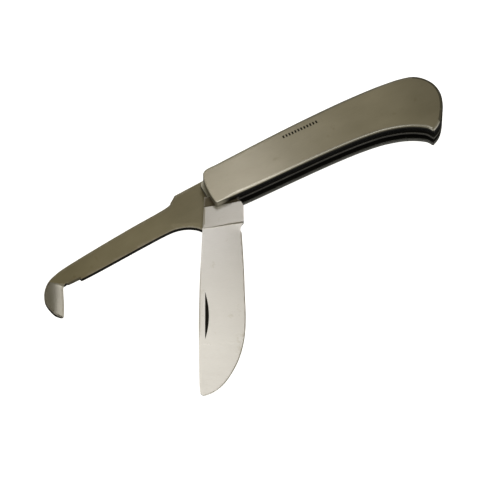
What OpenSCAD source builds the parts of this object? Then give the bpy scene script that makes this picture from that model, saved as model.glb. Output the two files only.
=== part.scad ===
// Two-tool folding rigging knife: a straight-spined blade and a hook blade
// in one steel handle, each on its own backspring.
// Frame: millimetres. The origin is on the pivot axis, at the rear outer face.
// +X runs from the pivot to the butt, +Y to the spine, +Z to the front face.
// The tools are drawn where they rest: the blade part open, the hook fully open.

/* [Handle] */
// Thickness of each outer scale
scale_t = 2.4; // [2.2:0.1:3.0]
// Thickness of the front and rear liners
liner_t = 0.9; // [0.7:0.1:1.2]
// Thickness of the centre liner between the wells
centre_t = 1.1; // [1.0:0.1:1.6]
// Radius of the outer edge of the scales
edge_r = 1.3; // [0.5:0.1:1.5]

/* [Tools] */
// Thickness of the main blade at its spine
blade_t = 2.5; // [2.2:0.1:3.0]
// Thickness of the hook blade
hook_t = 2.3; // [1.8:0.1:2.6]
// Room on each side of a tool in its well
side_gap = 0.15; // [0.15:0.05:0.3]
// Thickness left at the sharp edges
edge_t = 0.3; // [0.2:0.05:0.5]
// Depth of the recess in each side of a tang
tang_recess = 0.12; // [0.1:0.02:0.2]
// Deepest point of the nail nick
nick_depth = 0.8; // [0.5:0.1:1.0]

/* [Angles] */
// Turn of the main blade from straight along +X, at rest
blade_rest = -119; // [-121:1:-115]

/* [Springs and pins] */
// Radius of the rounded heel of each tang
heel_r = 6.1; // [6.0:0.02:6.12]
// Height of the underside of each spring's nose above the pivot axis
nose_y = 6.15; // [6.14:0.01:6.2]
// Radius of the pivot pin
pivot_r = 2.0; // [1.6:0.1:2.2]
// Radius of the pin through the middle of the springs
spring_pin_r = 0.9; // [0.7:0.1:1.0]
// Radius of the pin at the butt
butt_pin_r = 1.2; // [1.0:0.1:1.4]
// Running clearance round a pin, on the radius
run_gap = 0.04; // [0.03:0.01:0.08]

/* [Hidden] */

e = 0.01;

// heights of the layers
z_rl = scale_t;                          // rear liner
z_hw = z_rl + liner_t;                   // hook well
z_cl = z_hw + hook_t + 2*side_gap;       // centre liner
z_bw = z_cl + centre_t;                  // blade well
z_fl = z_bw + blade_t + 2*side_gap;      // front liner
z_fs = z_fl + liner_t;                   // front scale
z_top = z_fs + scale_t;
z_hook = z_hw + side_gap;                // rear face of the hook blade
z_blade = z_bw + side_gap;               // rear face of the main blade

// places of the pins in the handle
spring_pin_at = [44, 9.75];
butt_pin_at = [91.6, 3.4];
rivets_at = [[12, 3.5], [34, 3], [60, 2.5], [80, -2]];
lift = 0.64;                             // lift of a spring at its middle pin

// ---- smooth curves through a few points ----
function at(p, i) = p[max(0, min(len(p) - 1, i))];
function cr(a, b, c, d, t) =
    0.5*((2*b) + (c - a)*t + (2*a - 5*b + 4*c - d)*t*t
    + (3*b - a - 3*c + d)*t*t*t);
// n steps between each pair of points; the last point is left to the next run
function run(p, n) =
    [for (i = [0:len(p) - 2]) for (k = [0:n - 1])
        cr(at(p, i - 1), at(p, i), at(p, i + 1), at(p, i + 2), k/n)];
function last(p) = p[len(p) - 1];

// ---- handle outline ----
spine_top = [[-4.8, 9.4], [-2.8, 10.4], [1.8, 10.7], [12, 11.1], [24, 11.5],
             [36, 11.8], [48, 11.9], [60, 11.8], [72, 11.3], [80, 10.6],
             [86, 9.7], [90.8, 8.2], [94.3, 5.3], [96.6, 1.2], [97, -3.4],
             [95.7, -7.8], [93.5, -11.7], [91, -15], [88.6, -17],
             [86, -18.2]];
belly = [[85.4, -17.7], [84.3, -15.8], [81.6, -13.7], [77.8, -11.6],
         [73, -9.8], [66.5, -8.2], [57.5, -7.1], [47.5, -6.5], [37.5, -6.2],
         [25.6, -6], [11.6, -5.8], [1.6, -5.5], [-3.5, -5.3], [-6.2, -5.2]];
pivot_end = [[-6.8, -4.2], [-7, -1], [-6.8, 2.6], [-6.4, 5.4],
             [-5.7, 7.7], [-4.8, 9.4]];
outline = concat(run(spine_top, 3), [last(spine_top)],
                 run(belly, 3), [last(belly)],
                 run(pivot_end, 2));

// the centre liner's pivot end is straighter and stands a little proud, and
// its lower side is set back from the plates
centre_end = [[-6.7, -4.2], [-6.9, -1], [-7, 2.8], [-7, 6.5],
              [-6.7, 8], [-5.6, 9.1], [-4.8, 9.4]];
centre_belly = [for (p = belly) p + [-0.1, 0.65]];
centre_outline = concat(run(spine_top, 3), [last(spine_top)],
                        run(centre_belly, 3), [last(centre_belly)],
                        run(centre_end, 2));

module plate(z, t, shape = outline) {
    difference() {
        translate([0, 0, z]) linear_extrude(t) polygon(shape);
        pin_holes(z - 1, t + 2);
    }
}

module pin_holes(z, h) {
    translate([0, 0, z]) {
        cylinder(r = pivot_r + e, h = h, $fn = 64);
        translate(spring_pin_at) cylinder(r = spring_pin_r + e, h = h, $fn = 48);
        translate(butt_pin_at) cylinder(r = butt_pin_r + e, h = h, $fn = 48);
    }
}

// a closed outline, each point moved inwards by its own d, mitred corners
function unit(v) = v/norm(v);
function side_n(a, b) = let (t = unit(b - a)) [-t[1], t[0]];
function inset(p, d) =
    let (n = len(p))
    [for (i = [0:n - 1])
        let (n1 = side_n(p[(i + n - 1) % n], p[i]),
             n2 = side_n(p[i], p[(i + 1) % n]))
        p[i] - d[i]*(n1 + n2)/(1 + n1*n2)];

// the rounding is slighter along the pivot end
function share(x) = let (t = max(0, min(1, (x + 5)/8)))
    0.4 + 0.6*t*t*(3 - 2*t);

// what is taken off to round the edge of a plate whose face is at z = t
module edge_cutter(t, r) {
    n = len(outline);
    steps = 5;
    // [inset, share of the radius inwards, height over the face,
    //  share of the radius down from it]
    ring = concat([[-0.6, 0, 0, 1]],
        [for (k = [0:steps]) let (a = 90*k/steps)
            [0, 1 - cos(a), 0, 1 - sin(a)]],
        [[0, 1, 0.6, 0], [-0.6, 0, 0.6, 0]]);
    m = len(ring);
    own = [for (p = outline) r*share(p[0])];
    pts = [for (q = ring)
        let (o = inset(outline, [for (w = own) q[0] + q[1]*w]))
        for (i = [0:n - 1]) [o[i][0], o[i][1], t + q[2] - q[3]*own[i]]];
    polyhedron(points = pts, faces = [
        for (j = [0:m - 1]) for (i = [0:n - 1])
        let (k = (j + 1) % m, h = (i + 1) % n)
        each [[j*n + i, k*n + h, j*n + h], [j*n + i, k*n + i, k*n + h]]]);
}

// a scale lying on z = 0 with its rounded face up
module scale_solid() {
    difference() {
        linear_extrude(scale_t) polygon(outline);
        edge_cutter(scale_t, edge_r);
    }
}

module rivet_holes(z, h) {
    for (p = rivets_at) translate([p[0], p[1], z])
        cylinder(r = 0.8 + e, h = h, $fn = 32);
}

module front_scale() {
    color([0.70, 0.67, 0.60]) difference() {
        translate([0, 0, z_fs]) scale_solid();
        pin_holes(z_fs - 1, scale_t + 2);
        rivet_holes(z_fs - 1, 1 + scale_t - 0.8);
    }
}

module rear_scale() {
    color([0.66, 0.63, 0.56]) difference() {
        translate([0, 0, scale_t]) mirror([0, 0, 1]) scale_solid();
        pin_holes(-1, scale_t + 2);
        rivet_holes(0.8, scale_t);
    }
}

module front_liner() {
    color([0.72, 0.70, 0.66]) difference() {
        plate(z_fl, liner_t);
        rivet_holes(z_fl - 1, liner_t + 2);
    }
}

module centre_liner() {
    color([0.60, 0.58, 0.54]) plate(z_cl, centre_t, centre_outline);
}

module rear_liner() {
    color([0.72, 0.70, 0.66]) difference() {
        plate(z_rl, liner_t);
        rivet_holes(z_rl - 1, liner_t + 2);
    }
}

// ---- springs ----
// outer side follows the handle's spine; u is the underside from the butt
// forward to the nose
module spring(z, t, u) {
    back = [for (p = concat(run(spine_top, 3), [last(spine_top)]))
            if (p[1] > -3 && p[0] > -3.2) p];
    difference() {
        translate([0, 0, z + 0.05]) linear_extrude(t - 0.1)
            polygon(concat([[-3.2, 10.1]], back, u));
        translate([butt_pin_at[0], butt_pin_at[1], z - 1])
            cylinder(r = butt_pin_r + run_gap, h = t + 2, $fn = 48);
        // the middle hole is long enough for the spring to lift
        for (dy = [0, -lift])
            translate([spring_pin_at[0], spring_pin_at[1] + dy, z - 1])
                cylinder(r = spring_pin_r + 0.1, h = t + 2, $fn = 48);
        translate([spring_pin_at[0] - spring_pin_r - 0.1,
                   spring_pin_at[1] - lift, z - 1])
            cube([2*spring_pin_r + 0.2, lift, t + 2]);
    }
}

butt_under = [[96.9, -3.2], [90.4, -2.6], [89.2, -0.8], [88.6, 1.6],
              [87.4, 4.2], [84.6, 6.3], [80, 7.4]];

module blade_spring() {
    u = concat(run(concat(butt_under, [[70, 8.1], [58, 8.4], [51, 8.3],
        [47.5, 7.55], [44, 7.35], [40.5, 7.55], [37, 8.1], [28, 8],
        [18, 7.75], [9, 7.7]]), 2),
        [[5.2, 7.7], [3.6, 7.0], [3.4, nose_y], [-3.2, nose_y]]);
    color([0.68, 0.66, 0.62]) spring(z_bw, blade_t + 2*side_gap, u);
}

module hook_spring() {
    u = concat(run(concat(butt_under, [[70, 8.1], [58, 8.4], [51, 8.3],
        [47.5, 7.55], [44, 7.35], [40.5, 7.55], [37, 8.2], [28, 8.6],
        [18, 8.6], [12, 8.4]]), 2),
        [[8, 7.7], [4.2, 7.0], [3.4, nose_y], [-3.2, nose_y]]);
    color([0.66, 0.64, 0.60]) spring(z_hw, hook_t + 2*side_gap, u);
}

// ---- main blade ----
// Own frame: origin on the pivot axis at mid thickness, +X to the tip and
// +Y to the cutting edge.
blade_spine = [[3.2, -8.2], [12, -8.5], [20, -8.9], [29, -9.2], [40, -9.6],
               [52, -9.8], [64, -9.8], [76, -9.6], [86, -9.3], [90.4, -8.9]];
blade_edge = [[91.6, -7.1], [90.7, -4.7], [88.6, -1.7], [85.2, 1.3],
              [80.4, 4.1], [75.2, 6.3], [69.5, 7.8], [63.5, 8.6],
              [56.5, 8.8], [46.5, 8.4], [34.5, 7.9], [24.5, 7.3],
              [18.8, 6.9]];
blade_ricasso = [[17.2, 6.3], [15.7, 6.6], [14.6, 7.5], [13.6, 7.7],
                 [7.2, 7.6], [5.4, 6.7], [4.2, 5.6], [2.5, 3], [2.5, -4],
                 [3.2, -5]];
plunge = [[13.9, 9], [15, 2.5], [16.5, -4], [17.9, -11]];
// [point on the edge, slope of the edge's outward side towards the tip]
blade_grinds = [[[35, 7.9], -2.5], [[61, 8.8], 1.5], [[69.5, 7.8], 12],
                [[77, 5.6], 23], [[83.5, 2.4], 34], [[88.6, -1.7], 50],
                [[91.1, -5.6], 70]];

// everything above a plane that meets the edge at p and rises inwards
module above(p, a, z, slope) {
    translate([p[0], p[1], z]) rotate([0, 0, -a]) rotate([-slope, 0, 0])
        translate([-70, -70, 0]) cube([140, 90, 12]);
}

// the part of a tang under a spring: a round heel with two seats
module heel(t, open_a, shut_a) {
    difference() {
        translate([0, 0, -t/2]) cylinder(r = heel_r, h = t, $fn = 96);
        for (a = [open_a, shut_a]) rotate([0, 0, a])
            translate([heel_r - 0.15, -4, -t]) cube([2, 8, 2*t]);
    }
}

module blade_solid() {
    slope = atan((blade_t - edge_t)/2/18.4);
    difference() {
        union() {
            translate([0, 0, -blade_t/2]) linear_extrude(blade_t)
                polygon(concat(run(blade_spine, 3), [last(blade_spine)],
                               run(blade_edge, 3), [last(blade_edge)],
                               blade_ricasso));
            heel(blade_t, -92.5, 92);
        }
        // flat grinds, one per side, turning round the belly
        for (s = [0, 1]) mirror([0, 0, s]) intersection() {
            translate([0, 0, -1]) linear_extrude(8)
                polygon(concat(plunge, [[98, -11], [98, 12], [13.9, 12]]));
            union() for (g = blade_grinds)
                above(g[0], g[1], edge_t/2, slope);
        }
        // recessed tang
        for (s = [0, 1]) mirror([0, 0, s])
            translate([0, 0, blade_t/2 - tang_recess]) linear_extrude(2)
                polygon([[-9, -12], [8.7, -12], [4.6, 8.5], [-9, 8.5]]);
        // nail nick: a round cutter that leans into the front face
        translate([56.7, -7.4, blade_t/2])
            rotate([0, 0, 0.5]) rotate([-68, 0, 0])
            translate([0, -92 + nick_depth, 0])
            cylinder(r = 92, h = 8, $fn = 240);
        translate([0, 0, -3]) cylinder(r = pivot_r + run_gap, h = 6, $fn = 64);
    }
}

module main_blade() {
    color([0.80, 0.77, 0.75])
        translate([0, 0, z_blade + blade_t/2]) rotate([0, 0, blade_rest])
        blade_solid();
}

// ---- hook blade ----
// Drawn in the handle's frame, fully open.
hook_back = [[-3.4, 9.85], [-18.1, 9.2], [-20.6, 7.4], [-24, 5.9],
             [-40, 4.7], [-56.4, 3.2], [-71.6, 1.5], [-77.2, 0.3],
             [-80.8, -1.2], [-83.6, -3.7], [-85.3, -6.4], [-86, -9.3],
             [-85.7, -12.5], [-84.9, -15.2], [-83.5, -17.2]];
hook_inner = [[-82.2, -17.4], [-80.5, -14.4], [-78.9, -11.2], [-77.4, -8],
              [-76.3, -5.9], [-75, -5.1], [-73.8, -5.7]];
hook_under = [[-68.3, -5.7], [-67.9, -6.2], [-59, -5.9], [-45.5, -5.1],
              [-36.4, -4.6], [-28.9, -4.3], [-24.4, -4.6], [-20.5, -5.8],
              [-17.2, -7.9], [-15.4, -10], [-14.2, -10.7], [-12.6, -10.4]];
hook_tang = [[-5.2, -6.2], [-3.2, -4.8], [-2, -2], [-3.4, 4]];

module hook_solid() {
    difference() {
        union() {
            translate([0, 0, -hook_t/2]) linear_extrude(hook_t)
                polygon(concat([hook_back[0]],
                    run([for (i = [1:len(hook_back) - 1]) hook_back[i]], 3),
                    [last(hook_back)],
                    run(hook_inner, 2), [last(hook_inner)],
                    run(hook_under, 2), [last(hook_under)], hook_tang));
            heel(hook_t, 90, -81);
        }
        // the hooked end is ground thinner towards its inner edge, with a
        // narrow bevel along that edge
        for (s = [0, 1]) mirror([0, 0, s]) {
            intersection() {
                translate([0, 0, -1]) linear_extrude(8)
                    polygon([[-81, 1], [-75.3, -3.7], [-74.2, -6.5],
                             [-74.2, -22], [-90, -22], [-90, 1]]);
                union() {
                    above([-79.2, -11.5], 117.5, hook_t/2 - 0.65,
                          atan(0.65/6.2));
                    above([-79.2, -11.5], 117.5, edge_t/2, 16.7);
                }
            }
            intersection() {
                translate([0, 0, -1]) linear_extrude(8)
                    polygon([[-75.3, -3.7], [-68.4, -4.6], [-68.4, -8],
                             [-74.2, -8], [-74.2, -6.5]]);
                above([-71.5, -5.85], 184, edge_t/2, 58);
            }
        }
        // shallow bevel along the flared foot of the tang, front only
        intersection() {
            translate([0, 0, -1]) linear_extrude(8)
                polygon([[-25, -1.8], [-22, -2.2], [-11.4, -8], [-11.4, -12],
                         [-25, -12]]);
            above([-16.6, -8.6], 152, hook_t/2 - 0.28, 4.5);
        }
        // recess for the washers
        for (s = [0, 1]) mirror([0, 0, s])
            translate([0, 0, hook_t/2 - tang_recess])
            cylinder(r = 5.6, h = 2, $fn = 64);
        translate([0, 0, -3]) cylinder(r = pivot_r + run_gap, h = 6, $fn = 64);
    }
}

module hook_blade() {
    color([0.52, 0.49, 0.40])
        translate([0, 0, z_hook + hook_t/2]) hook_solid();
}

// ---- pins, washers and rivets ----
module through_pin(p, r) {
    color([0.70, 0.68, 0.62]) translate([p[0], p[1], 0])
        cylinder(r = r, h = z_top, $fn = 64);
}
module pivot_pin() { through_pin([0, 0], pivot_r); }
module spring_pin() { through_pin(spring_pin_at, spring_pin_r); }
module butt_pin() { through_pin(butt_pin_at, butt_pin_r); }

module washer(z) {
    color([0.72, 0.55, 0.28]) translate([0, 0, z]) difference() {
        cylinder(r = 5.2, h = side_gap + tang_recess - 0.04, $fn = 64);
        translate([0, 0, -1]) cylinder(r = pivot_r + 0.05, h = 3, $fn = 64);
    }
}
module blade_washer_rear() { washer(z_bw); }
module blade_washer_front() { washer(z_fl - side_gap - tang_recess + 0.04); }
module hook_washer_rear() { washer(z_hw); }
module hook_washer_front() { washer(z_cl - side_gap - tang_recess + 0.04); }

module rivets(z) {
    color([0.66, 0.64, 0.60]) for (p = rivets_at)
        translate([p[0], p[1], z])
            cylinder(r = 0.8, h = scale_t - 0.8 + liner_t - e, $fn = 32);
}
module front_scale_rivets() { rivets(z_fl); }
module rear_scale_rivets() { rivets(0.8 + e); }

front_scale();
rear_scale();
front_liner();
centre_liner();
rear_liner();
main_blade();
hook_blade();
blade_spring();
hook_spring();
pivot_pin();
spring_pin();
butt_pin();
blade_washer_front();
blade_washer_rear();
hook_washer_front();
hook_washer_rear();
front_scale_rivets();
rear_scale_rivets();
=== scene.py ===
import math

import bmesh
import bpy
import numpy as np
from mathutils import Matrix, Vector
from mathutils.geometry import delaunay_2d_cdt


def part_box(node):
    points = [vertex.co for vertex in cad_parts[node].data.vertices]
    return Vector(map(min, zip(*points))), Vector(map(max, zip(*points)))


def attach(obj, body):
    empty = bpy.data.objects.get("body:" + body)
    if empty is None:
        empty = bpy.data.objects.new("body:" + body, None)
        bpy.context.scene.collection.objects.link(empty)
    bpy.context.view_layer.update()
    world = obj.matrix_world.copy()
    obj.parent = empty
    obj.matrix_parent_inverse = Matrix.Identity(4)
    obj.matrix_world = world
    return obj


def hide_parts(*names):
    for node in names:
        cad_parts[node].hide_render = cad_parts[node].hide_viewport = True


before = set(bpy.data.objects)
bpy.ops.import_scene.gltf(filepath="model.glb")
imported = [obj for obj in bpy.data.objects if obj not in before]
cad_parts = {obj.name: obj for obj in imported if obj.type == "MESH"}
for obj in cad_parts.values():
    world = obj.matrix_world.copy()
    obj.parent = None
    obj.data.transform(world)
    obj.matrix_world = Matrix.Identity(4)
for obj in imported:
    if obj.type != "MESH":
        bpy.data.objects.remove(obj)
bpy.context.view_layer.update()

MM = 0.001

# ---------------------------------------------------------------- layers, mm
def zspan(node):
    lo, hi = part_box(node)
    return lo.z / MM, hi.z / MM


Z_REAR = zspan("rear_scale")
Z_RLINER = zspan("rear_liner")
Z_CENTRE = zspan("centre_liner")
Z_FLINER = zspan("front_liner")
Z_FRONT = zspan("front_scale")
Z_BLADE = zspan("main_blade")
Z_HOOK = zspan("hook_blade")
Z_BSPRING = zspan("blade_spring")
Z_HSPRING = zspan("hook_spring")

PIVOT_R, SPRING_R, BUTT_R = 2.0, 0.9, 1.2
SPRING_AT, BUTT_AT = (44.0, 9.75), (91.6, 3.4)
EDGE_R = 1.3
BLADE_REST = math.radians(-119.0)


# ---------------------------------------------------------------- 2D curves
def catmull(a, b, c, d, t):
    return tuple(
        0.5
        * (
            2 * b[k]
            + (c[k] - a[k]) * t
            + (2 * a[k] - 5 * b[k] + 4 * c[k] - d[k]) * t * t
            + (3 * b[k] - a[k] - 3 * c[k] + d[k]) * t**3
        )
        for k in range(2)
    )


def run(p, n):
    out = []
    for i in range(len(p) - 1):
        a, b, c, d = (p[max(0, min(len(p) - 1, j))] for j in (i - 1, i, i + 1, i + 2))
        out += [catmull(a, b, c, d, k / n) for k in range(n)]
    return out


SPINE_TOP = [(-4.8, 9.4), (-2.8, 10.4), (1.8, 10.7), (12, 11.1), (24, 11.5), (36, 11.8), (48, 11.9),
             (60, 11.8), (72, 11.3), (80, 10.6), (86, 9.7), (90.8, 8.2), (94.3, 5.3), (96.6, 1.2),
             (97, -3.4), (95.7, -7.8), (93.5, -11.7), (91, -15), (88.6, -17), (86, -18.2)]
BELLY = [(85.4, -17.7), (84.3, -15.8), (81.6, -13.7), (77.8, -11.6), (73, -9.8), (66.5, -8.2),
         (57.5, -7.1), (47.5, -6.5), (37.5, -6.2), (25.6, -6), (11.6, -5.8), (1.6, -5.5),
         (-3.5, -5.3), (-6.2, -5.2)]
PIVOT_END = [(-6.8, -4.2), (-7, -1), (-6.8, 2.6), (-6.4, 5.4), (-5.7, 7.7), (-4.8, 9.4)]
# the centre liner's pivot end is straighter and stands a little proud
CENTRE_END = [(-6.7, -4.2), (-6.9, -1), (-7, 2.8), (-7, 6.5), (-6.7, 8), (-5.6, 9.1), (-4.8, 9.4)]


CENTRE_BELLY = [(x - 0.1, y + 0.65) for x, y in BELLY]


def handle_outline(k, belly=BELLY, end=PIVOT_END):
    """The handle's outline, drawn in a hair inside the CAD's."""
    return inset(
        run(SPINE_TOP, 3 * k) + [SPINE_TOP[-1]] + run(belly, 3 * k) + [belly[-1]]
        + run(end, 2 * k), 0.015)


def resample(p, step):
    """A closed outline with long sides split, so that no side is over step."""
    out = []
    for i, a in enumerate(p):
        b = p[(i + 1) % len(p)]
        n = max(1, math.ceil(math.dist(a, b) / step))
        out += [(a[0] + (b[0] - a[0]) * k / n, a[1] + (b[1] - a[1]) * k / n) for k in range(n)]
    return out


def area(p):
    return sum(a[0] * b[1] - b[0] * a[1] for a, b in zip(p, p[1:] + p[:1])) / 2


def inset(p, d):
    """Closed outline p moved inwards by d (one number, or one for each point), mitred."""
    sign = 1 if area(p) > 0 else -1
    out = []
    n = len(p)
    ds = d if isinstance(d, list) else [d] * n
    for i in range(n):
        (x0, y0), (x1, y1), (x2, y2) = p[i - 1], p[i], p[(i + 1) % n]
        l1, l2 = math.hypot(x1 - x0, y1 - y0), math.hypot(x2 - x1, y2 - y1)
        n1 = (-(y1 - y0) / l1 * sign, (x1 - x0) / l1 * sign)
        n2 = (-(y2 - y1) / l2 * sign, (x2 - x1) / l2 * sign)
        k = 1 + n1[0] * n2[0] + n1[1] * n2[1]
        out.append((x1 + ds[i] * (n1[0] + n2[0]) / k, y1 + ds[i] * (n1[1] + n2[1]) / k))
    return out


def circle(c, r, n):
    return [(c[0] + r * math.cos(2 * math.pi * i / n), c[1] + r * math.sin(2 * math.pi * i / n))
            for i in range(n)]


def inside(p, q):
    """Which of the points q lie within the closed outline p."""
    q = np.asarray(q, float)
    a = np.asarray(p, float)
    b = np.roll(a, -1, axis=0)
    hit = np.zeros(len(q), bool)
    for (x0, y0), (x1, y1) in zip(a, b):
        if y0 != y1:
            cross = (y0 > q[:, 1]) != (y1 > q[:, 1])
            hit ^= cross & (q[:, 0] < (x1 - x0) * (q[:, 1] - y0) / (y1 - y0) + x0)
    return hit


def dists(path, q):
    """Distance from each of the points q to an open run of points."""
    q = np.asarray(q, float)
    best = np.full(len(q), 1e9)
    for (ax, ay), (bx, by) in zip(path, path[1:]):
        dx, dy = bx - ax, by - ay
        n = dx * dx + dy * dy
        if n == 0:
            continue
        t = np.clip(((q[:, 0] - ax) * dx + (q[:, 1] - ay) * dy) / n, 0, 1)
        best = np.minimum(best, np.hypot(q[:, 0] - ax - t * dx, q[:, 1] - ay - t * dy))
    return best


def path_dist(path, x, y):
    key = id(path)
    if key not in _runs:
        a = np.asarray(path, float)
        d = a[1:] - a[:-1]
        keep = (d * d).sum(1) > 0
        _runs[key] = (path, a[:-1][keep], d[keep], (d * d).sum(1)[keep])
    _, a, d, n = _runs[key]
    w = np.array((x, y)) - a
    t = np.clip((w * d).sum(1) / n, 0, 1)
    w -= d * t[:, None]
    return float(math.sqrt((w * w).sum(1).min()))


_runs = {}


def side(a, b, x, y):
    """Distance to the left of the line from a to b."""
    dx, dy = b[0] - a[0], b[1] - a[1]
    return (dx * (y - a[1]) - dy * (x - a[0])) / math.hypot(dx, dy)


def smooth(t):
    t = max(0.0, min(1.0, t))
    return t * t * (3 - 2 * t)


# ---------------------------------------------------------------- meshes
def make_object(name, bm, body, nodes=(), mats=(), angle=28.0):
    bmesh.ops.recalc_face_normals(bm, faces=bm.faces)
    bm.normal_update()
    for f in bm.faces:
        f.smooth = abs(f.normal.z) < 0.999999
    for e in bm.edges:
        if len(e.link_faces) == 2 and e.calc_face_angle(0.0) > math.radians(angle):
            e.smooth = False
    mesh = bpy.data.meshes.new(name)
    bm.to_mesh(mesh)
    bm.free()
    ob = bpy.data.objects.new(name, mesh)
    bpy.context.scene.collection.objects.link(ob)
    for m in mats:
        mesh.materials.append(m)
    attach(ob, body)
    for n in nodes:
        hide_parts(n)
    return ob


def cap(bm, loops):
    """Fills the plane between an outer loop of vertices and inner ones."""
    edges = []
    for loop in loops:
        for a, b in zip(loop, loop[1:] + loop[:1]):
            e = bm.edges.get((a, b)) or bm.edges.new((a, b))
            edges.append(e)
    done = bmesh.ops.triangle_fill(bm, use_beauty=True, use_dissolve=False, edges=edges)
    return [g for g in done["geom"] if isinstance(g, bmesh.types.BMFace)]


def bridge(bm, a, b):
    faces = []
    n = len(a)
    for i in range(n):
        j = (i + 1) % n
        faces.append(bm.faces.new((a[i], a[j], b[j], b[i])))
    return faces


def share(x):
    """The rounding is slighter along the pivot end."""
    return 0.4 + 0.6 * smooth((x + 5) / 8)


def plate(outline, holes, z0, z1, r0, r1, steps=8, face_mat=0, side_mat=1, wall=None, dusk=None,
          top_mat=None, butt_mat=None):
    """A plate between z0 and z1, its lower and upper edges rounded by r0 and r1. Returns a
    bmesh in metres. wall and dusk are the materials of the straight side and of the part of
    a rounding next to it; on the front scale both are darker copies that paint shade, as is butt_mat on
    the rounding past x = 90 mm."""
    bm = bmesh.new()
    wall = side_mat if wall is None else wall
    dusk = side_mat if dusk is None else dusk

    def ring(p, z):
        return [bm.verts.new((x * MM, y * MM, h * MM)) for (x, y), h in
                zip(p, z if isinstance(z, list) else [z] * len(p))]

    rows = []  # (share of r inwards, z at the face, share of r away from it, which r)
    for k in range(steps + 1) if r0 > 0 else ():
        a = math.pi / 2 * k / steps
        rows.append((1 - math.sin(a), z0, 1 - math.cos(a), r0))
    if r0 <= 0:
        rows.append((0.0, z0, 0.0, 0.0))
    low_n = len(rows)
    for k in range(steps + 1) if r1 > 0 else ():
        a = math.pi / 2 * k / steps
        rows.append((1 - math.cos(a), z1, -(1 - math.sin(a)), r1))
    if r1 <= 0:
        rows.append((0.0, z1, 0.0, 0.0))
    big = max(r0, r1) > 0.5
    own = [share(x) if big else 1.0 for x, _ in outline]
    rings = []
    for d, z, up, r in rows:
        rings.append(ring(inset(outline, [d * r * w + 1e-7 for w in own]),
                          [z + up * r * w for w in own]))
    for i, (a, b) in enumerate(zip(rings, rings[1:])):
        if i == low_n - 1:
            mat = wall
        else:
            # the few strips of a big rounding next to the side take the darker material: painted shade
            off = (low_n - 1 - i) if i < low_n - 1 else (i - low_n + 1)
            mat = dusk if big and off <= 3 and ((i >= low_n) == (r1 > 0.5)) else side_mat
        for f in bridge(bm, a, b):
            # rounding faces past x = 90 mm take butt_mat, a darker copy: painted shade on the butt end
            dull = butt_mat is not None and mat == side_mat and f.calc_center_median().x > 90 * MM
            f.material_index = butt_mat if dull else mat
    low = [ring(h, z0) for h in holes]
    high = [ring(h, z1) for h in holes]
    for a, b in zip(low, high):
        for f in bridge(bm, a, b):
            f.material_index = side_mat
    for f in cap(bm, [rings[0]] + low):
        f.material_index = face_mat
    for f in cap(bm, [rings[-1]] + high):
        f.material_index = face_mat if top_mat is None else top_mat
    return bm


def shaped(outline, holes, lines, spacing, dense, top, bottom, side_mat=1, mat_at=None):
    """A closed sheet over a 2D outline whose upper and lower surfaces are the
    functions top(x, y) and bottom(x, y), in mm. lines are creases that edges
    follow; dense is [(polyline, reach, spacing)] for finer bands."""
    pts, edges = [], []

    def add_loop(p, closed=True):
        base = len(pts)
        pts.extend(p)
        n = len(p)
        for i in range(n if closed else n - 1):
            edges.append((base + i, base + (i + 1) % n))

    add_loop(outline)
    for h in holes:
        add_loop(h)
    for l in lines:
        add_loop(l, False)
    xs, ys = [p[0] for p in outline], [p[1] for p in outline]
    walls = [outline + outline[:1]] + [h + h[:1] for h in holes]

    def grid(step, near=None, reach=0.0, skip=()):
        nx, ny = int((max(xs) - min(xs)) / step) + 2, int((max(ys) - min(ys)) / step / 0.9) + 2
        i, j = np.meshgrid(np.arange(nx), np.arange(ny), indexing="ij")
        q = np.stack([min(xs) + (i + 0.5 * (j % 2)) * step, min(ys) + j * step * 0.9], -1)
        q = q.reshape(-1, 2)
        if near:
            q = q[dists(near, q) < reach]
        q = q[inside(outline, q)]
        for h in holes:
            q = q[~inside(h, q)]
        for w in walls + lines:
            q = q[dists(w, q) >= step * 0.4]
        for l, r, _ in skip:
            q = q[dists(l, q) >= r]
        pts.extend((float(x), float(y)) for x, y in q)

    grid(spacing, skip=dense)
    for k, (l, r, s) in enumerate(dense):
        grid(s, l, r, dense[:k])
    v2, e2, f2, _, _, _ = delaunay_2d_cdt([Vector(p) for p in pts], edges, [], 0, 1e-6)
    mids = [(sum(v2[i].x for i in f) / len(f), sum(v2[i].y for i in f) / len(f)) for f in f2]
    keep = inside(outline, mids)
    for h in holes:
        keep &= ~inside(h, mids)
    tri = [f for f, k in zip(f2, keep) if k]
    used = sorted({i for f in tri for i in f})
    bm = bmesh.new()
    up = {i: bm.verts.new((v2[i].x * MM, v2[i].y * MM, top(v2[i].x, v2[i].y) * MM)) for i in used}
    dn = {i: bm.verts.new((v2[i].x * MM, v2[i].y * MM, bottom(v2[i].x, v2[i].y) * MM))
          for i in used}
    count = {}
    for f in tri:
        a = bm.faces.new([up[i] for i in f])
        b = bm.faces.new([dn[i] for i in reversed(f)])
        if mat_at:
            cx = sum(v2[i].x for i in f) / len(f)
            cy = sum(v2[i].y for i in f) / len(f)
            a.material_index = b.material_index = mat_at(cx, cy)
        for i, j in zip(f, list(f[1:]) + [f[0]]):
            count[(i, j)] = count.get((i, j), 0) + 1
    for i, j in count:
        if (j, i) not in count:
            f = bm.faces.new((up[j], up[i], dn[i], dn[j]))
            f.material_index = side_mat
    return bm


# ---------------------------------------------------------------- materials
def nodes_of(name):
    m = bpy.data.materials.new(name)
    m.use_nodes = True
    t = m.node_tree
    t.nodes.clear()
    out = t.nodes.new("ShaderNodeOutputMaterial")
    p = t.nodes.new("ShaderNodeBsdfPrincipled")
    t.links.new(p.outputs[0], out.inputs["Surface"])
    return m, t, p


def node(t, kind, **values):
    n = t.nodes.new(kind)
    for k, v in values.items():
        if k.startswith("in_"):
            n.inputs[k[3:].replace("_", " ")].default_value = v
        else:
            setattr(n, k, v)
    return n


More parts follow.
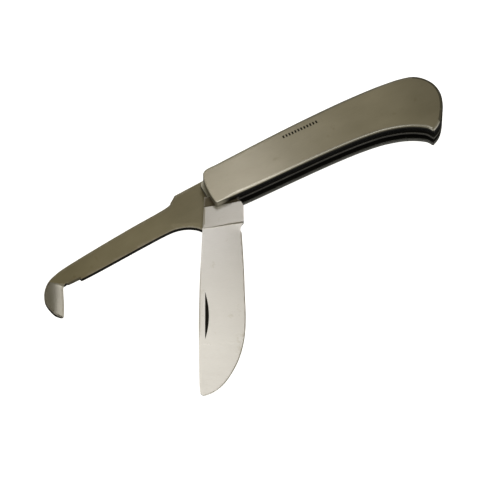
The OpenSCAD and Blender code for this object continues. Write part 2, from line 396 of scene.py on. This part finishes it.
def mapped(t, angle, scale):
    """Object coordinates turned about Z by -angle, then scaled."""
    co = node(t, "ShaderNodeTexCoord")
    turn = node(t, "ShaderNodeMapping")
    turn.vector_type = "POINT"
    turn.inputs["Rotation"].default_value = (0, 0, -angle)
    t.links.new(co.outputs["Object"], turn.inputs["Vector"])
    size = node(t, "ShaderNodeMapping")
    size.inputs["Scale"].default_value = scale
    t.links.new(turn.outputs[0], size.inputs["Vector"])
    return size.outputs[0]


def ramp(t, source, stops):
    r = node(t, "ShaderNodeValToRGB")
    el = r.color_ramp.elements
    while len(el) < len(stops):
        el.new(0.5)
    for e, (pos, c) in zip(el, stops):
        e.position = pos
        e.color = (c, c, c, 1) if not isinstance(c, (tuple, list)) else (*c, 1)
    t.links.new(source, r.inputs[0])
    return r.outputs[0]


def steel(name, base, rough, angle=0.0, grain=0.5, bump=0.12, spots=0.12, edge=0.35,
          metal=1.0, tint=(1.0, 0.97, 0.9), along_x=None):
    """Brushed steel: fine long scratches along angle, cloudy tone, small
    stains, and edges rubbed brighter."""
    m, t, p = nodes_of(name)
    link = t.links.new
    p.inputs["Metallic"].default_value = metal

    # scratches
    fine = node(t, "ShaderNodeTexNoise", in_Scale=1.0, in_Detail=5.0, in_Roughness=0.6)
    link(mapped(t, angle, (260, 9000, 9000)), fine.inputs["Vector"])
    coarse = node(t, "ShaderNodeTexNoise", in_Scale=1.0, in_Detail=3.0, in_Roughness=0.55)
    link(mapped(t, angle, (60, 1500, 1500)), coarse.inputs["Vector"])
    # clouds and stains
    cloud = node(t, "ShaderNodeTexNoise", in_Scale=1.0, in_Detail=4.0, in_Roughness=0.55)
    link(mapped(t, angle, (45, 80, 80)), cloud.inputs["Vector"])
    stain = node(t, "ShaderNodeTexNoise", in_Scale=1.0, in_Detail=6.0, in_Roughness=0.62)
    link(mapped(t, angle + 0.7, (190, 190, 190)), stain.inputs["Vector"])

    tone = node(t, "ShaderNodeMix", data_type="RGBA", blend_type="MULTIPLY")
    tone.inputs["Factor"].default_value = 1.0
    tone.inputs["A"].default_value = (*base, 1)
    link(ramp(t, cloud.outputs["Fac"], [(0.3, (1 - spots, 1 - spots, 1 - spots * 1.25)),
                                        (0.7, (1 + spots * 0.3, 1 + spots * 0.3, 1 + spots * 0.2))]),
         tone.inputs["B"])
    lines = node(t, "ShaderNodeMix", data_type="RGBA", blend_type="MULTIPLY")
    lines.inputs["Factor"].default_value = 1.0
    # along_x multiplies the colour by a ramp along x (or along way): painted light and shade
    if along_x:
        (x0, v0), (x1, v1), way = (*along_x, (1.0, 0.0))[:3]
        place = node(t, "ShaderNodeTexCoord")
        dot = node(t, "ShaderNodeVectorMath", operation="DOT_PRODUCT")
        dot.inputs[1].default_value = (*way, 0.0)
        link(place.outputs["Object"], dot.inputs[0])
        fade = node(t, "ShaderNodeMapRange", interpolation_type="SMOOTHSTEP")
        for key, v in (("From Min", x0), ("From Max", x1), ("To Min", v0), ("To Max", v1)):
            fade.inputs[key].default_value = v
        link(dot.outputs["Value"], fade.inputs["Value"])
        painted_light_tone = node(t, "ShaderNodeMix", data_type="RGBA", blend_type="MULTIPLY")
        painted_light_tone.inputs["Factor"].default_value = 1.0
        link(tone.outputs["Result"], painted_light_tone.inputs["A"])
        link(fade.outputs[0], painted_light_tone.inputs["B"])
        tone = painted_light_tone
    link(tone.outputs["Result"], lines.inputs["A"])
    link(ramp(t, fine.outputs["Fac"], [(0.25, 1 - 0.16 * grain), (0.75, 1.0)]), lines.inputs["B"])
    marks = node(t, "ShaderNodeMix", data_type="RGBA", blend_type="MULTIPLY")
    link(ramp(t, stain.outputs["Fac"], [(0.62, 0.0), (0.78, 1.0)]), marks.inputs["Factor"])
    link(lines.outputs["Result"], marks.inputs["A"])
    marks.inputs["B"].default_value = (0.80 * tint[0], 0.80 * tint[1], 0.78 * tint[2], 1)
    # rubbed edges
    geo = node(t, "ShaderNodeNewGeometry")
    worn = ramp(t, geo.outputs["Pointiness"], [(0.52, 0.0), (0.60, 1.0)])
    bright = node(t, "ShaderNodeMix", data_type="RGBA", blend_type="MIX")
    amount = node(t, "ShaderNodeMath", operation="MULTIPLY")
    amount.inputs[1].default_value = edge
    link(worn, amount.inputs[0])
    link(amount.outputs[0], bright.inputs["Factor"])
    link(marks.outputs["Result"], bright.inputs["A"])
    bright.inputs["B"].default_value = (0.88, 0.86, 0.82, 1)
    link(bright.outputs["Result"], p.inputs["Base Color"])

    r1 = node(t, "ShaderNodeMath", operation="MULTIPLY_ADD")
    r1.inputs[1].default_value = 0.18 * grain
    r1.inputs[2].default_value = rough - 0.09 * grain
    link(coarse.outputs["Fac"], r1.inputs[0])
    r2 = node(t, "ShaderNodeMath", operation="MULTIPLY_ADD")
    r2.inputs[1].default_value = 0.10
    link(cloud.outputs["Fac"], r2.inputs[0])
    link(r1.outputs[0], r2.inputs[2])
    r3 = node(t, "ShaderNodeMath", operation="SUBTRACT")
    r3.inputs[1].default_value = 0.05
    link(r2.outputs[0], r3.inputs[0])
    link(r3.outputs[0], p.inputs["Roughness"])

    height = node(t, "ShaderNodeMath", operation="MULTIPLY_ADD")
    height.inputs[1].default_value = 0.6
    link(coarse.outputs["Fac"], height.inputs[0])
    link(fine.outputs["Fac"], height.inputs[2])
    b = node(t, "ShaderNodeBump", in_Strength=bump, in_Distance=0.00004)
    link(height.outputs[0], b.inputs["Height"])
    link(b.outputs["Normal"], p.inputs["Normal"])
    return m


def blanked(name, base, rough=0.55):
    """The cut side of a plate: matte, with fine marks across the thickness, in the tone base; where a
    side, an inner face or the nail nick is given a near-black base, that darkness is painted shade.
    """
    m, t, p = nodes_of(name)
    link = t.links.new
    p.inputs["Metallic"].default_value = 1.0
    n = node(t, "ShaderNodeTexNoise", in_Scale=1.0, in_Detail=5.0, in_Roughness=0.65)
    link(mapped(t, 0.0, (2600, 2600, 300)), n.inputs["Vector"])
    c = node(t, "ShaderNodeTexNoise", in_Scale=1.0, in_Detail=3.0, in_Roughness=0.5)
    link(mapped(t, 0.0, (180, 180, 260)), c.inputs["Vector"])
    mix = node(t, "ShaderNodeMix", data_type="RGBA", blend_type="MULTIPLY")
    mix.inputs["Factor"].default_value = 1.0
    link(ramp(t, n.outputs["Fac"], [(0.3, tuple(v * 0.75 for v in base)),
                                    (0.7, tuple(v * 1.15 for v in base))]), mix.inputs["A"])
    link(ramp(t, c.outputs["Fac"], [(0.35, 0.72), (0.65, 1.0)]), mix.inputs["B"])
    link(mix.outputs["Result"], p.inputs["Base Color"])
    r = node(t, "ShaderNodeMath", operation="MULTIPLY_ADD")
    r.inputs[1].default_value = 0.2
    r.inputs[2].default_value = rough - 0.1
    link(n.outputs["Fac"], r.inputs[0])
    link(r.outputs[0], p.inputs["Roughness"])
    b = node(t, "ShaderNodeBump", in_Strength=0.3, in_Distance=0.00005)
    link(n.outputs["Fac"], b.inputs["Height"])
    link(b.outputs["Normal"], p.inputs["Normal"])
    return m


# the face's colour falls to 0.74 from x = 68 mm to the butt: painted shade
SCALE = steel("scale_satin", (0.58, 0.54, 0.445), 0.34, 0.0, grain=0.6, edge=0.0,
              along_x=((0.068, 1.0), (0.097, 0.74)))
SCALE_REAR = steel("scale_satin_rear", (0.54, 0.515, 0.45), 0.36, 0.0, grain=0.6, edge=0.0)
# the rounded edge is 1.45 times brighter up to x = 12 mm and 0.85 past 50 mm: painted highlight
SCALE_SIDE = steel("scale_round", (0.60, 0.58, 0.53), 0.30, 0.0, grain=0.4,
                   along_x=((0.012, 1.45), (0.050, 0.85)))
# the rounded edge at the butt end, a darker copy of the rounding: painted shade
SCALE_BUTT_SHADED = steel("scale_round_butt_painted_shade", (0.20, 0.19, 0.16), 0.36, 0.0, grain=0.4, edge=0.1)
# the part of the rounded edge next to the side, darker, and darker still past x = 0: painted shade
SCALE_DUSK = steel("scale_round_low_painted_shade", (0.36, 0.35, 0.31), 0.40, 0.0, grain=0.5, edge=0.1,
                   along_x=((-0.005, 1.0), (0.0, 0.33)))
# the front scale's side is multiplied to 0.016 past x = 0, bright only at the pivot end: painted shade
SCALE_WALL = steel("scale_cut_side_painted_shade", (0.55, 0.53, 0.47), 0.50, 0.0, grain=0.6, edge=0.0,
                   along_x=((-0.005, 1.0), (0.0, 0.016)))
REAR_WALL = blanked("rear_cut_side", (0.66, 0.65, 0.61), 0.5)
LINER_SIDE = blanked("liner_cut_side", (0.34, 0.335, 0.315))
LINER_REAR = blanked("liner_cut_side_rear", (0.30, 0.30, 0.285))
# the front liner's side is multiplied to 0.016 past x = 0: painted shade
LINER_DARK = steel("liner_cut_side_painted_shade", (0.55, 0.53, 0.47), 0.50, 0.0, grain=0.6, edge=0.0,
                   along_x=((-0.005, 1.0), (0.0, 0.016)))
# near-black liner faces, seen only inside the wells: painted shade
LINER_FACE = steel("liner_face", (0.06, 0.058, 0.053), 0.45, 0.0, grain=0.5, edge=0.0)
# the centre liner's exposed face: bright and part diffuse up to x = -4.5 mm, falling to 0.05 past -2.5
# mm: painted highlight at the end, painted shade in the well
LINER_PAINTED_HIGHLIGHT = steel("liner_face_painted_highlight", (0.92, 0.90, 0.82), 0.40, 0.3, grain=0.4, edge=0.0,
                    metal=0.6, along_x=((-0.0045, 1.0), (-0.0025, 0.05)))
SPRING = steel("spring_ground", (0.50, 0.48, 0.43), 0.38, 0.0, grain=0.7)
# near-black flat faces of the springs, seen inside the wells: painted shade
SPRING_DARK = blanked("spring_inner_painted_shade", (0.03, 0.03, 0.03))
BLADE = steel("blade_fine_satin", (0.74, 0.722, 0.70), 0.30, BLADE_REST + math.pi / 2, grain=0.45,
              spots=0.05)
RICASSO = steel("blade_ricasso", (0.66, 0.64, 0.61), 0.33, BLADE_REST + math.pi / 2, grain=0.5,
                spots=0.07)
# dark brown tang: partly its own unpolished tone, partly painted shade under the handle
TANG = steel("blade_tang", (0.18, 0.155, 0.11), 0.48, BLADE_REST, grain=0.5)
BLADE_SIDE = blanked("blade_side", (0.40, 0.38, 0.35), 0.42)
# near-black nail nick: painted shade in the recess
NICK = blanked("nick_dark", (0.05, 0.048, 0.045), 0.6)
# the hook's colour falls to 0.78 from x = -36 mm towards the handle: painted shade
HOOK = steel("hook_dull_satin", (0.37, 0.33, 0.225), 0.38, 0.05, grain=0.6,
             along_x=((-0.036, 1.0), (-0.016, 0.78)))
# the ground face falls to 0.56 towards the back edge of the hooked end: painted shade
HOOK_GROUND = steel("hook_ground", (0.68, 0.655, 0.60), 0.30, 1.1, grain=0.9, spots=0.16,
                    along_x=((-0.0690, 0.56), (-0.0654, 1.0), (0.89, -0.456)))
# the near-black band along the back edge of the hooked end: painted shade
HOOK_RIM = steel("hook_rim", (0.20, 0.185, 0.15), 0.42, 1.1, grain=0.6)
# near-black sides of the hook: painted shade
HOOK_SIDE = blanked("hook_side", (0.08, 0.075, 0.06))
BRONZE = steel("washer_bronze", (0.48, 0.30, 0.13), 0.42, 0.0, grain=0.5, tint=(1, 0.85, 0.6))

# ---------------------------------------------------------------- handle
OUT = handle_outline(4)
CENTRE_OUT = handle_outline(4, CENTRE_BELLY, CENTRE_END)
HOLES = [circle((0, 0), PIVOT_R + 0.01, 96), circle(SPRING_AT, SPRING_R + 0.01, 48),
         circle(BUTT_AT, BUTT_R + 0.01, 48)]

# the faces lie a hair inside the CAD's, so that the etched marks fit within its height
make_object("front_scale_skin",
            plate(OUT, HOLES, Z_FRONT[0], Z_FRONT[1] - 0.012, 0.06, EDGE_R, wall=3, dusk=2, butt_mat=4),
            "handle", ["front_scale"], [SCALE, SCALE_SIDE, SCALE_DUSK, SCALE_WALL, SCALE_BUTT_SHADED])
make_object("rear_scale_skin", plate(OUT, HOLES, *Z_REAR, EDGE_R, 0.06, wall=2), "handle",
            ["rear_scale"], [SCALE_REAR, REAR_WALL, REAR_WALL])
make_object("front_liner_plate", plate(OUT, HOLES, *Z_FLINER, 0.08, 0.04, 2), "handle",
            ["front_liner"], [LINER_FACE, LINER_DARK])
make_object("centre_liner_plate", plate(CENTRE_OUT, HOLES, *Z_CENTRE, 0.12, 0.12, 3, top_mat=2), "handle",
            ["centre_liner"], [LINER_FACE, LINER_SIDE, LINER_PAINTED_HIGHLIGHT])
make_object("rear_liner_plate", plate(OUT, HOLES, *Z_RLINER, 0.04, 0.08, 2), "handle",
            ["rear_liner"], [LINER_FACE, LINER_REAR])

# ---------------------------------------------------------------- springs
BUTT_UNDER = [(96.9, -3.2), (90.4, -2.6), (89.2, -0.8), (88.6, 1.6), (87.4, 4.2), (84.6, 6.3),
              (80, 7.4)]
BLADE_UNDER = [(70, 8.1), (58, 8.4), (51, 8.3), (47.5, 7.55), (44, 7.35), (40.5, 7.55), (37, 8.1),
               (28, 8), (18, 7.75), (9, 7.7)]
HOOK_UNDER_SPRING = [(70, 8.1), (58, 8.4), (51, 8.3), (47.5, 7.55), (44, 7.35), (40.5, 7.55),
                     (37, 8.2), (28, 8.6), (18, 8.6), (12, 8.4)]


def spring_outline(under, nose):
    back = [p for p in run(SPINE_TOP, 9) + [SPINE_TOP[-1]] if p[1] > -3 and p[0] > -3.2]
    return [(-3.2, 10.1)] + back + run(BUTT_UNDER + under, 6) + nose


def slot_hole(c, r, dy, n):
    up = [(c[0] + r * math.cos(math.pi * i / n), c[1] + r * math.sin(math.pi * i / n))
          for i in range(n + 1)]
    dn = [(c[0] - r * math.cos(math.pi * i / n), c[1] - dy - r * math.sin(math.pi * i / n))
          for i in range(n + 1)]
    return up + dn


SPRING_HOLES = [circle(BUTT_AT, BUTT_R + 0.04, 48), slot_hole(SPRING_AT, SPRING_R + 0.1, 0.64, 24)]
make_object("blade_backspring",
            plate(spring_outline(BLADE_UNDER, [(5.2, 7.7), (3.6, 7.0), (3.4, 6.15), (-3.2, 6.15)]),
                  SPRING_HOLES, *Z_BSPRING, 0.1, 0.1, 3),
            "blade_spring_body", ["blade_spring"], [SPRING_DARK, SPRING])
make_object("hook_backspring",
            plate(spring_outline(HOOK_UNDER_SPRING,
                                 [(8, 7.7), (4.2, 7.0), (3.4, 6.15), (-3.2, 6.15)]),
                  SPRING_HOLES, *Z_HSPRING, 0.1, 0.1, 3),
            "hook_spring_body", ["hook_spring"], [SPRING_DARK, SPRING])

# ---------------------------------------------------------------- main blade
B_SPINE = [(3.2, -8.2), (12, -8.5), (20, -8.9), (29, -9.2), (40, -9.6), (52, -9.8), (64, -9.8),
           (76, -9.6), (86, -9.3), (90.4, -8.9)]
B_EDGE = [(91.6, -7.1), (90.7, -4.7), (88.6, -1.7), (85.2, 1.3), (80.4, 4.1), (75.2, 6.3),
          (69.5, 7.8), (63.5, 8.6), (56.5, 8.8), (46.5, 8.4), (34.5, 7.9), (24.5, 7.3), (18.8, 6.9)]
B_RICASSO = [(17.2, 6.3), (15.7, 6.6), (14.6, 7.5), (13.6, 7.7), (7.2, 7.6), (5.4, 6.7), (4.2, 5.6)]
T = Z_BLADE[1] - Z_BLADE[0]
EDGE_T, RECESS, HEEL_R, BORE = 0.3, 0.12, 6.1, PIVOT_R + 0.04
PLUNGE = [(13.9, 9.0), (15.0, 2.5), (16.5, -4.0), (17.9, -11.0)]
STEP = [(8.7, -12.0), (4.6, 8.5)]
tip_round = [(90.4, -8.9), (91.05, -8.55), (91.45, -8.0), (91.6, -7.5)]


def rounded(p, r, n=4):
    """An open run of corner points with each inner corner rounded by about r."""
    out = [p[0]]
    for a, b, c in zip(p, p[1:], p[2:]):
        la, lc = math.dist(a, b), math.dist(b, c)
        ra, rc = min(r, la * 0.45), min(r, lc * 0.45)
        s = (b[0] + (a[0] - b[0]) * ra / la, b[1] + (a[1] - b[1]) * ra / la)
        e = (b[0] + (c[0] - b[0]) * rc / lc, b[1] + (c[1] - b[1]) * rc / lc)
        for k in range(n + 1):
            u = k / n
            out.append(tuple((1 - u) ** 2 * s[i] + 2 * u * (1 - u) * b[i] + u * u * e[i]
                             for i in range(2)))
    return out + [p[-1]]


edge_curve = run(B_EDGE, 8) + [B_EDGE[-1]]
spine_curve = run(B_SPINE, 8) + [B_SPINE[-1]]
GRIND_K = (T - EDGE_T) / 2 / 18.4


def along(line, y):
    """x on a line of points at height y, carried on straight past its ends."""
    pts = sorted(line, key=lambda q: q[1])
    for a, b in zip(pts, pts[1:]):
        if y <= b[1] or b is pts[-1]:
            return a[0] + (b[0] - a[0]) * (y - a[1]) / (b[1] - a[1])


def blade_half(x, y):
    """Half the blade's thickness at a point."""
    full = T / 2
    rim = path_dist(spine_curve, x, y)
    if rim < 0.25:
        full -= 0.10 * (1 - rim / 0.25) ** 2
    past = x - along(PLUNGE, y)
    h = full
    if past > 0:
        d = path_dist(edge_curve, x, y)
        ground = EDGE_T / 2 + GRIND_K * d
        ground = min(ground, 0.04 + 0.42 * d)
        drop = max(0.0, full - ground)
        # the grinding wheel leaves a small hollow at the shoulder
        w = 0.55
        if past < w:
            u = past / w
            drop *= math.sqrt(max(0.0, 1 - (1 - u) ** 2))
        h = full - drop
    if x < along(STEP, y):
        h = T / 2 - RECESS
    return max(h, 0.03)


def heel_points():
    """The heel from the spine shoulder round to the ricasso, with its two seats."""
    pts = []
    a0, a1 = math.atan2(-5.19, 3.2), math.radians(53.5) - 2 * math.pi
    seats = [math.radians(-92.5), math.radians(92)]
    for k in range(97):
        a = a0 + (a1 - a0) * k / 96
        r = HEEL_R
        for s in seats:
            d = math.cos(a - s)
            if d > 0:
                r = min(r, (HEEL_R - 0.15) / d)
        pts.append((r * math.cos(a), r * math.sin(a)))
    return pts


heel = heel_points()  # runs clockwise from the shoulder to the ricasso side
blade_out = (
    spine_curve[:-1] + tip_round + edge_curve
    + rounded([B_EDGE[-1]] + B_RICASSO + [heel[-1]], 0.5)[1:-1]
    + heel[::-1]
)
blade_out = resample(blade_out, 0.7)


def on_line(line, n, lo, hi):
    return [(along(line, lo + (hi - lo) * k / n), lo + (hi - lo) * k / n) for k in range(n + 1)]


step_line = on_line(STEP, 40, -8.0, 6.1)
step_line2 = [(x + 0.06, y) for x, y in step_line]
plunge_line = on_line(PLUNGE, 50, -8.4, 7.45)


def blade_mat(x, y):
    if x < along(STEP, y) + 0.03:
        return 2
    if x < along(PLUNGE, y):
        return 3
    return 0


bm = shaped(
    blade_out, [circle((0, 0), BORE, 72)], [step_line, step_line2, plunge_line], 0.75,
    [(plunge_line, 1.3, 0.16), (edge_curve, 1.0, 0.28)],
    lambda x, y: blade_half(x, y), lambda x, y: -blade_half(x, y), 1, blade_mat)
turn = Matrix.Translation((0, 0, (Z_BLADE[0] + Z_BLADE[1]) / 2 * MM)) @ Matrix.Rotation(
    BLADE_REST, 4, "Z")
bmesh.ops.transform(bm, matrix=turn, verts=bm.verts)
blade = make_object("main_blade_ground", bm, "blade_body", ["main_blade"],
                    [BLADE, BLADE_SIDE, TANG, RICASSO, NICK], angle=12)

# the nail nick: a round cutter leaning into the front face
cut = bmesh.new()
bmesh.ops.create_cone(cut, cap_ends=True, segments=720, radius1=92 * MM, radius2=92 * MM,
                      depth=8 * MM)
bmesh.ops.translate(cut, vec=(0, 0, 4 * MM), verts=cut.verts)
bmesh.ops.translate(cut, vec=(0, (-92 + 0.8) * MM, 0), verts=cut.verts)
bmesh.ops.transform(
    cut, verts=cut.verts,
    matrix=turn @ Matrix.Translation((56.7 * MM, -7.4 * MM, T / 2 * MM))
    @ Matrix.Rotation(math.radians(0.5), 4, "Z") @ Matrix.Rotation(math.radians(-68), 4, "X"))
cmesh = bpy.data.meshes.new("nick_cutter")
cut.to_mesh(cmesh)
cut.free()
cmesh.materials.append(NICK)
cutter = bpy.data.objects.new("nick_cutter", cmesh)
bpy.context.scene.collection.objects.link(cutter)
mod = blade.modifiers.new("nick", "BOOLEAN")
mod.operation = "DIFFERENCE"
mod.solver = "EXACT"
mod.material_mode = "TRANSFER"
mod.object = cutter
bpy.context.view_layer.update()
dg = bpy.context.evaluated_depsgraph_get()
solid = bpy.data.meshes.new_from_object(blade.evaluated_get(dg), depsgraph=dg)
blade.modifiers.clear()
blade.data = solid
bpy.data.objects.remove(cutter)
bm = bmesh.new()
bm.from_mesh(solid)
for e in bm.edges:
    if len(e.link_faces) == 2 and e.calc_face_angle(0.0) > math.radians(12):
        e.smooth = False
bm.to_mesh(solid)
bm.free()

# ---------------------------------------------------------------- hook blade
H_BACK = [(-18.1, 9.2), (-20.6, 7.4), (-24, 5.9), (-40, 4.7), (-56.4, 3.2), (-71.6, 1.5),
          (-77.2, 0.3), (-80.8, -1.2), (-83.6, -3.7), (-85.3, -6.4), (-86, -9.3), (-85.7, -12.5),
          (-84.9, -15.2), (-83.5, -17.2)]
H_INNER = [(-82.2, -17.4), (-80.5, -14.4), (-78.9, -11.2), (-77.4, -8), (-76.3, -5.9), (-75, -5.1),
           (-73.8, -5.7)]
H_UNDER = [(-68.3, -5.7), (-67.9, -6.2), (-59, -5.9), (-45.5, -5.1), (-36.4, -4.6), (-28.9, -4.3),
           (-24.4, -4.6), (-20.5, -5.8), (-17.2, -7.9), (-15.4, -10), (-14.2, -10.7),
           (-12.6, -10.4)]
H_TANG = [(-5.2, -6.2)]
HT = Z_HOOK[1] - Z_HOOK[0]


def hook_heel():
    pts = []
    a0, a1 = math.radians(-123), math.acos(-3.4 / HEEL_R)
    for k in range(97):
        a = a0 + (a1 - a0) * k / 96
        r = HEEL_R
        for s in (math.radians(90), math.radians(-81)):
            d = math.cos(a - s)
            if d > 0:
                r = min(r, (HEEL_R - 0.15) / d)
        pts.append((r * math.cos(a), r * math.sin(a)))
    return pts


inner_curve = run(H_INNER, 6) + [H_INNER[-1]]
back_curve = run(H_BACK, 6) + [H_BACK[-1]]
hook_out = (
    [(-3.4, 9.85)] + back_curve + rounded([(-83.5, -17.2), (-82.95, -17.6), (-82.2, -17.4)], 0.4)[1:-1]
    + inner_curve + run(H_UNDER, 6) + [H_UNDER[-1]] + H_TANG + hook_heel()
)
hook_out = inset(resample(hook_out, 0.7), 0.03)
GROUND = [(-80.6, -0.9), (-78.4, -1.9), (-76.8, -3.0), (-75.6, -4.6), (-75.1, -5.1)]
throat = [(-75.0, -5.1), (-73.8, -5.7), (-68.3, -5.7)]
throat_top = [(-75.3, -3.7), (-68.4, -4.6)]


def hook_half(x, y):
    h = HT / 2
    rim = path_dist(back_curve, x, y)
    if rim < 0.25:
        h -= 0.12 * (1 - rim / 0.25) ** 2
    # the hooked end, hollow ground towards the inner edge
    past = side((-80.6, -0.9), (-75.1, -5.1), x, y)
    if past < 0 and x < -74.2:
        d = path_dist(inner_curve, x, y)
        u = min(1.0, d / 6.2)
        g = HT / 2 - (HT / 2 - 0.15) * (1 - u) ** 2.2
        fade = smooth(-past / 1.0)
        h -= max(0.0, h - g) * fade
    elif -74.6 < x < -68.4 and y < -3.5:
        d = path_dist(throat, x, y)
        h = min(h, 0.15 + 1.9 * d)
    return max(h, 0.04)


def hook_top(x, y):
    h = hook_half(x, y)
    # shallow bevel along the flared foot of the tang
    if -25 < x < -11:
        d = side((-25.0, -1.2), (-11.4, -8.3), x, y)
        if d < 0:
            h -= 0.045 * smooth(-d / 0.9) + 0.04 * max(0.0, -d - 0.5)
    if math.hypot(x, y) < 5.6:
        h -= RECESS
    return max(h, -0.5)


def hook_bottom(x, y):
    h = hook_half(x, y)
    if math.hypot(x, y) < 5.6:
        h -= RECESS
    return -h


def hook_mat(x, y):
    past = side((-80.6, -0.9), (-75.1, -5.1), x, y)
    if past < -0.15 and x < -74.2:
        if path_dist(back_curve, x, y) < 0.75:
            return 3
        return 2
    return 0


ground_line = [(-81.0, -0.62), (-79.2, -2.0), (-77.2, -3.5), (-75.3, -4.95)]
bevel_line = inset(inner_curve, 0.0)[:1]
bm = shaped(
    hook_out, [circle((0, 0), BORE, 72), ],
    [circle((0, 0), 5.6, 96) + [(5.6, 0)]], 0.8,
    [(inner_curve, 2.4, 0.3), (ground_line, 1.4, 0.25), (throat, 2.2, 0.3),
     ([(-25.0, -1.2), (-11.4, -8.3)], 0.6, 0.2)],
    hook_top, hook_bottom, 1, hook_mat)
bmesh.ops.transform(bm, matrix=Matrix.Translation((0, 0, (Z_HOOK[0] + Z_HOOK[1]) / 2 * MM)),
                    verts=bm.verts)
make_object("hook_blade_ground", bm, "hook_body", ["hook_blade"],
            [HOOK, HOOK_SIDE, HOOK_GROUND, HOOK_RIM], angle=14)

# ---------------------------------------------------------------- etched marks
# a plain row of even bars, dark against the face
bm = bmesh.new()
z = Z_FRONT[1] - 0.004
for i in range(12):
    x = 31.4 + i * 1.35
    y0 = 8.4 - 0.016 * (x - 31)
    bar = rounded([(x - 0.34, y0 - 0.62), (x - 0.34, y0 + 0.62), (x + 0.34, y0 + 0.62),
                   (x + 0.34, y0 - 0.62), (x - 0.34, y0 - 0.62)], 0.15)[:-1]
    top = bm.faces.new([bm.verts.new((px * MM, py * MM, z * MM)) for px, py in bar])
    made = bmesh.ops.extrude_face_region(bm, geom=[top])
    bmesh.ops.translate(bm, vec=(0, 0, -0.06 * MM),
                        verts=[g for g in made["geom"] if isinstance(g, bmesh.types.BMVert)])
make_object("etched_marks", bm, "handle", (),
            [blanked("etch_dark", (0.035, 0.033, 0.028), 0.6)])

# ---------------------------------------------------------------- CAD nodes that show
for n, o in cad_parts.items():
    if o.hide_render:
        continue
    mat = BRONZE if "washer" in n else SCALE  # the pins are ground flush with the scales
    o.data.materials.clear()
    o.data.materials.append(mat)
    for s in o.material_slots:
        s.material = mat

# ---------------------------------------------------------------- floor
bm = bmesh.new()
F = -0.02
grid = [[bm.verts.new((x * 0.25, y * 0.25, F)) for x in range(-12, 13)] for y in range(-12, 13)]
for a, b in zip(grid, grid[1:]):
    for i in range(24):
        bm.faces.new((a[i], a[i + 1], b[i + 1], b[i]))
mesh = bpy.data.meshes.new("floor")
bm.to_mesh(mesh)
bm.free()
floor = bpy.data.objects.new("floor", mesh)
bpy.context.scene.collection.objects.link(floor)
m, t, p = nodes_of("floor_white")
p.inputs["Base Color"].default_value = (0.93, 0.93, 0.93, 1)
p.inputs["Roughness"].default_value = 0.9
p.inputs["Specular IOR Level"].default_value = 0.1
p.inputs["Emission Color"].default_value = (1, 1, 1, 1)
p.inputs["Emission Strength"].default_value = 1.0
mesh.materials.append(m)
floor.visible_glossy = False

# ---------------------------------------------------------------- camera
AZ, EL = math.radians(-28.58), math.radians(62.0)
back = Vector((math.sin(AZ) * math.cos(EL), -math.cos(AZ) * math.cos(EL), math.sin(EL)))
right = Vector((math.cos(AZ), math.sin(AZ), 0.0))
up = back.cross(right)
LENS = 500.0
PX = 2.5  # picture points per mm at 480 wide
pivot_face = Vector((0, 0, Z_FRONT[1] * MM))
target = pivot_face - right * ((224.8 - 240) / PX * MM) - up * ((240 - 185.9) / PX * MM)
cam = bpy.data.cameras.new("camera")
cam.lens = LENS
cam.sensor_width = 36.0
camera = bpy.data.objects.new("camera", cam)
bpy.context.scene.collection.objects.link(camera)
camera.location = target + back * (480 / PX * MM * LENS / 36.0)
camera.rotation_mode = "QUATERNION"
camera.rotation_quaternion = (-back).to_track_quat("-Z", "Y")
cam.clip_start, cam.clip_end = 0.1, 50.0
bpy.context.scene.camera = camera


# ---------------------------------------------------------------- light
def softbox(name, at, aim, w, h, level, colour=(1, 1, 1)):
    """A rectangular panel whose surface shines at the given level."""
    l = bpy.data.lights.new(name, "AREA")
    l.shape = "RECTANGLE"
    l.size, l.size_y = w, h
    l.energy = math.pi * w * h * level
    l.color = colour
    o = bpy.data.objects.new(name, l)
    bpy.context.scene.collection.objects.link(o)
    z = (Vector(at) - Vector(aim)).normalized()
    x = (right - z * right.dot(z)).normalized()
    y = z.cross(x)
    o.matrix_world = Matrix(((x.x, y.x, z.x, at[0]), (x.y, y.y, z.y, at[1]),
                             (x.z, y.z, z.z, at[2]), (0, 0, 0, 1)))
    return o


mirror = Vector((-back.x, -back.y, back.z))
for name, x, y, w, h, far, level, tint in (
        ("key_blade", -0.0455, -0.0965, 0.072, 0.120, 0.20, 1.04, (1.0, 0.99, 0.98)),
        ("key_pivot", 0.0035, -0.0060, 0.024, 0.048, 0.15, 1.42, (1.0, 1.0, 1.08))):
    spot = Vector((x, y, 0.0125))
    softbox(name, spot + mirror * far, spot, w, h, level, tint)
softbox("top", (0.1, -0.45, 0.75), (0, 0, 0), 0.35, 0.35, 1.2)
softbox("fill_left", (-0.9, -0.2, 0.35), (0, 0, 0), 0.5, 0.4, 0.8)
softbox("fill_right", (0.8, -0.6, 0.5), (0, 0, 0), 0.5, 0.5, 0.8)

world = bpy.data.worlds.new("world")
bpy.context.scene.world = world
world.use_nodes = True
wt = world.node_tree
co = wt.nodes.new("ShaderNodeTexCoord")
split = wt.nodes.new("ShaderNodeSeparateXYZ")
fall = wt.nodes.new("ShaderNodeValToRGB")
wt.links.new(co.outputs["Generated"], split.inputs[0])
wt.links.new(split.outputs["Z"], fall.inputs[0])
el = fall.color_ramp.elements
el[0].position, el[0].color = 0.0, (0.12, 0.12, 0.115, 1)
el[1].position, el[1].color = 0.25, (0.285, 0.265, 0.200, 1)
wt.links.new(fall.outputs[0], wt.nodes["Background"].inputs[0])
wt.nodes["Background"].inputs[1].default_value = 1.0
bpy.context.scene.view_settings.view_transform = "Standard"
